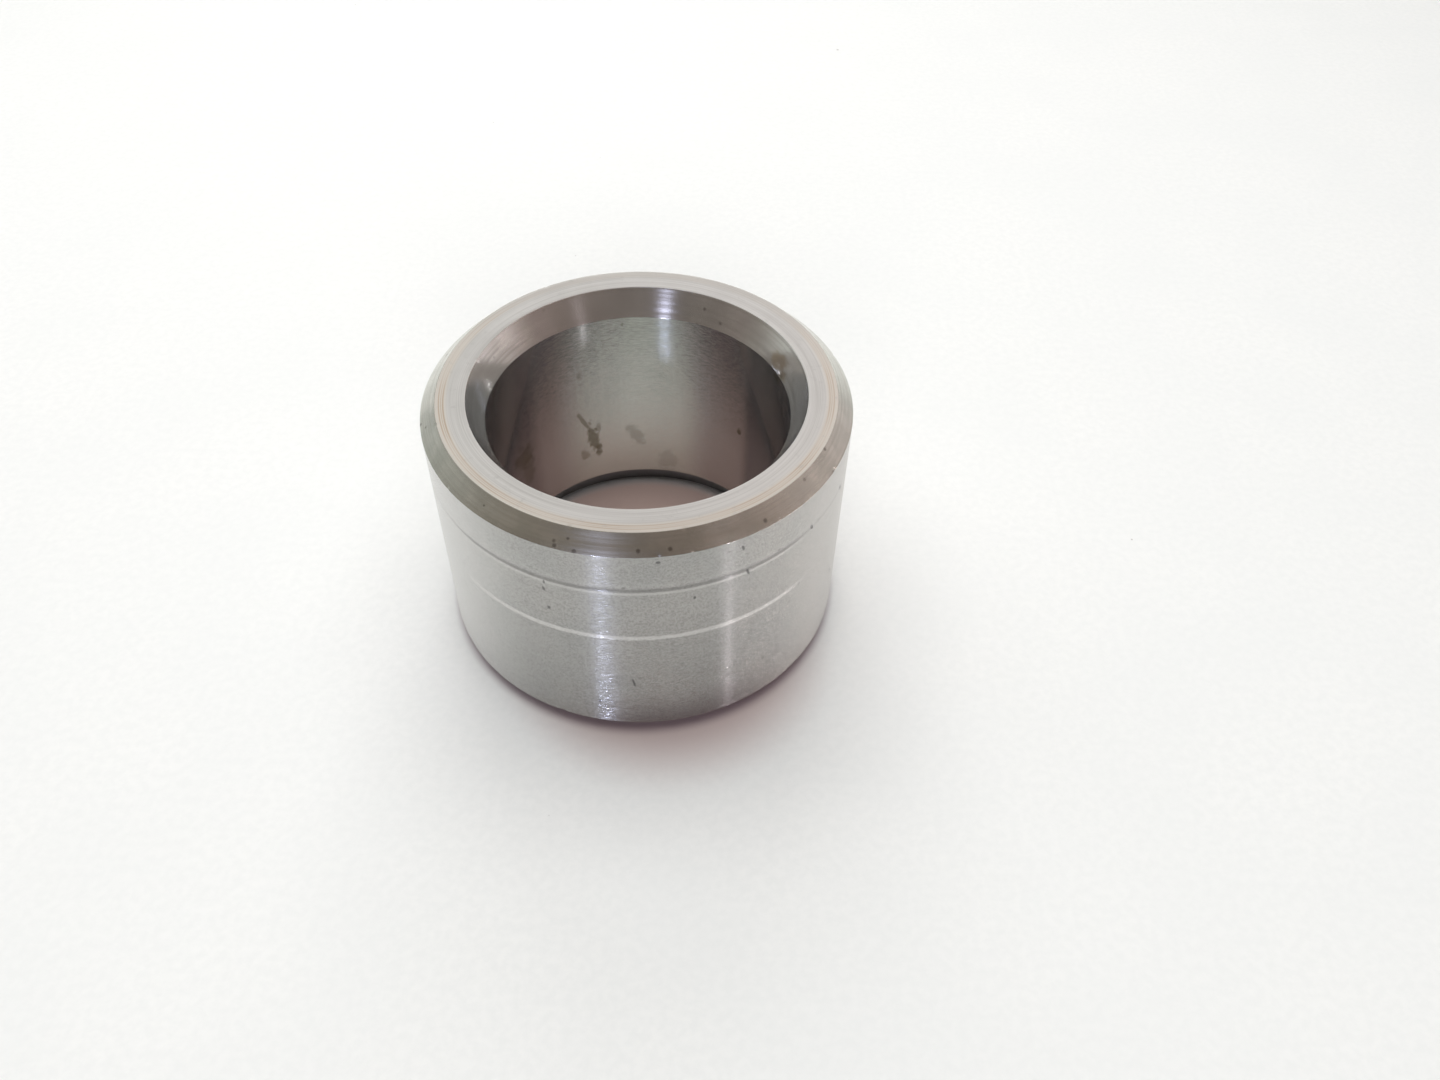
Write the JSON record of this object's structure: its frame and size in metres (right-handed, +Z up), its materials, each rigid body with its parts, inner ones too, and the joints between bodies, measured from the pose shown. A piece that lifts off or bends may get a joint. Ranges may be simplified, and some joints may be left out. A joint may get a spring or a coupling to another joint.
{
  "type": "shaft collar",
  "caption": "Plain one-piece steel collar ring with long lead-in cones in the bore, chamfered outer edges and fine witness lines round the ground outside.",
  "frame": {"origin": "centre of the bottom end face, on the bore's axis", "axes": "+Z up along the bore's axis; X and Y across the ring, which is round, so their directions carry no meaning"},
  "size_m": [0.042, 0.042, 0.028],
  "materials": {
    "ground_steel": "satin ground outside, fine-turned end faces and chamfers, honed bore"
  },
  "bodies": {
    "root": {"collar_ring": "ground_steel"}
  },
  "joints": []
}
